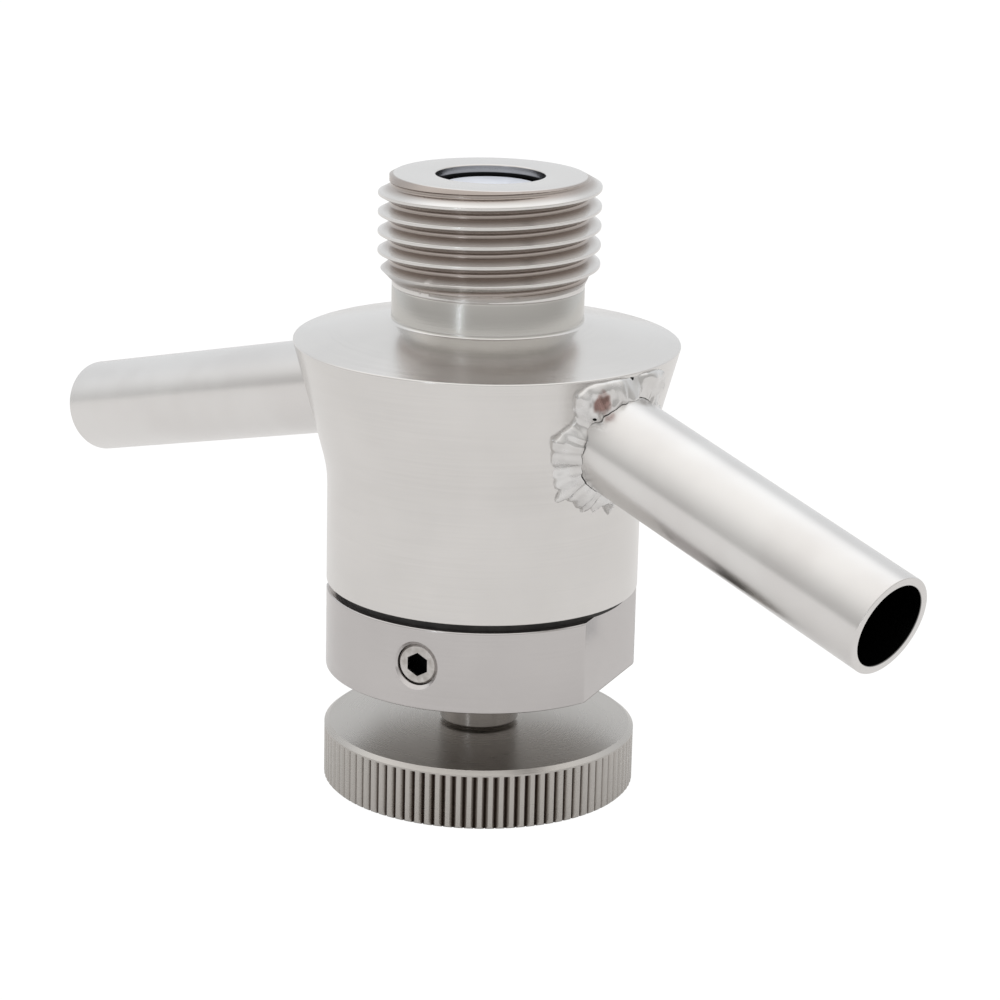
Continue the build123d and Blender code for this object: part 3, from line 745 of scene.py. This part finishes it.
# The stem seal is a rubber ring in the bonnet's lip, and the bonnet seal a flat rubber ring
# that shows as the black line between the collar and the body.
seal_rubber, shader, place = finish_of("black rubber", (0.02, 0.02, 0.02), 0.6, 0.0)
feed(shader, "Roughness", place.noise(900.0, 3.0).between(0.5, 0.75))
shade = place.noise(600.0, 3.0).clamped(0.3, 0.7)
feed(shader, "Base Color", shade.colours((0.012, 0.011, 0.011), (0.03, 0.028, 0.027)))
for seal in ("stem_seal", "bonnet_seal"):
    dressed(frame["nodes"][seal], "valve", "seal_rubber", seal_rubber)

# The plunger guide is a bush of white plastic with one long slot for the guide pin.
bearing_plastic, shader, place = finish_of("white bearing plastic", (0.92, 0.92, 0.90), 0.4, 0.0)
feed(shader, "Roughness", place.noise(900.0, 3.0).between(0.35, 0.5))
shade = place.noise(300.0, 3.0).clamped(0.3, 0.7)
feed(shader, "Base Color", shade.colours((0.88, 0.88, 0.86), (0.93, 0.93, 0.92)))
dressed(frame["nodes"]["plunger_guide"], "valve", "bearing_plastic", bearing_plastic)

# The spindle, the plunger and the insert in the diaphragm are turned from a harder steel and
# ground. The spindle's end turns in the plunger's head, on two pins that sit in its groove.
spindle_steel = turned_steel("spindle steel", (0.40, 0.38, 0.365), 0.2)[0]
for node, body in (("spindle", "handwheel"), ("plunger", "plunger"), ("diaphragm_insert", "plunger")):
    dressed(frame["nodes"][node], body, "spindle_steel", spindle_steel)
dressed(frame["nodes"]["guide_pin"], "plunger", "screw_steel", screw_steel)

# The thrust washer lies on the spindle's shoulder, and the clamp ring holds the diaphragm's
# flange up against the body.
dressed(frame["nodes"]["thrust_washer"], "handwheel", "bronze", bronze)
dressed(frame["nodes"]["diaphragm_clamp"], "valve", "body_steel", body_steel)

# The diaphragm is one milky silicone moulding: a clamped flange, a sleeve with five folds and a nose that
# closes the mouth.
tip_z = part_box("diaphragm")[1].z / MM
clamp_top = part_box("diaphragm")[0].z / MM
insert_low, insert_high = (corner.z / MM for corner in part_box("diaphragm_insert"))
insert_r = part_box("diaphragm_insert")[1].y / MM + 0.02
insert_head = 1.6
rod_r = 2.62
sleeve_r = 4.6
sleeve_wall = 1.7
root_r = 6.2
nose_r = 5.9
fold_depth = 0.8
fold_pitch = 2.6
seat_gap = 0.07
nose_low = valve_seat_z - seat_gap - (nose_r - mouth_r)
nose_high = valve_seat_z - seat_gap - (sleeve_r - mouth_r)
folds = []
for number in range(5):
    low = seat_z + 5.0 + number * fold_pitch
    folds += [
        (sleeve_r, low, 0.3),
        (sleeve_r + fold_depth, low + fold_pitch / 4, 0.3),
        (sleeve_r + fold_depth, low + fold_pitch / 2, 0.3),
        (sleeve_r, low + 3 * fold_pitch / 4, 0.3),
    ]
diaphragm = turned(
    "diaphragm_moulded",
    [
        (root_r - sleeve_wall, clamp_top),
        (bore_r - 0.3, clamp_top, 0.2),
        (bore_r - 0.3, seat_z, 0.2),
        (root_r, seat_z, 0.2),
        (root_r, seat_z + 0.8, 0.4),
        (sleeve_r, seat_z + 4.0, 0.4),
        *folds,
        (sleeve_r, nose_low - 0.8 - nose_r + sleeve_r, 0.4),
        (nose_r, nose_low - 0.8, 0.3),
        (nose_r, nose_low, 0.25),
        (sleeve_r, nose_high, 0.15),
        (sleeve_r, tip_z, 0.3),
        (0, tip_z),
        (0, insert_high + 0.02),
        (insert_r, insert_high + 0.02),
        (insert_r, insert_high - insert_head - 0.02),
        (rod_r, insert_high - insert_head - 0.02),
        (rod_r, insert_low),
        (sleeve_r - sleeve_wall, insert_low),
        (sleeve_r - sleeve_wall, seat_z + 3.5, 0.3),
        (root_r - sleeve_wall, seat_z, 0.3),
        (root_r - sleeve_wall, clamp_top),
    ],
    96,
)
silicone, shader, place = finish_of("milky silicone", (0.74, 0.79, 0.87), 0.3, 0.0)
feed(shader, "Roughness", place.noise(700.0, 3.0).between(0.25, 0.42))
shade = place.noise(250.0, 3.0).clamped(0.3, 0.7)
feed(shader, "Base Color", shade.colours((0.74, 0.78, 0.87), (0.81, 0.85, 0.93)))
diaphragm.data.materials.clear()
diaphragm.data.materials.append(silicone)
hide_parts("diaphragm")
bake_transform(diaphragm)

# The handwheel is turned from darker stainless steel. Its rim has a straight knurl, with painted shade in
# the grooves, which run out under a plain bevel. A button closes its recess below.
wheel_steel, shader, out, up_axis = turned_steel("handwheel steel", (0.50, 0.48, 0.455), 0.28)
# Painted shade: the knurl's grooves are painted dark brown below the bevel.
painted_groove_shade = (1 - out.clamped(0.01474, 0.01500)) * out.clamped(0.01458, 0.01466)
stain_and_painted_shade(shader, painted_groove_shade * (1 - up_axis.clamped(0.00518, 0.00524)), (0.13, 0.105, 0.09))
dressed(frame["nodes"]["handwheel"], "handwheel", "handwheel_steel", wheel_steel)
wheel_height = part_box("handwheel")[1].z / MM
wheel_r = 15.1
bevel = turned(
    "handwheel_bevel",
    [
        (wheel_r - 0.7, wheel_height - 0.5),
        (wheel_r + 0.01, wheel_height - 0.5),
        (wheel_r + 0.01, wheel_height - 0.35),
        (wheel_r - 0.44, wheel_height + 0.004),
        (wheel_r - 0.7, wheel_height + 0.004),
        (wheel_r - 0.7, wheel_height - 0.5),
    ],
)
dressed(bevel, "handwheel", "handwheel_steel", wheel_steel)
dressed(frame["nodes"]["handwheel_cap"], "handwheel", "handwheel_steel", wheel_steel)

# A washer and a hexagon socket screw, both plain steel, hold the handwheel on the spindle's
# flats.
dressed(frame["nodes"]["handwheel_washer"], "handwheel", "screw_steel", screw_steel)
dressed(frame["nodes"]["handwheel_screw"], "handwheel", "screw_steel", screw_steel)
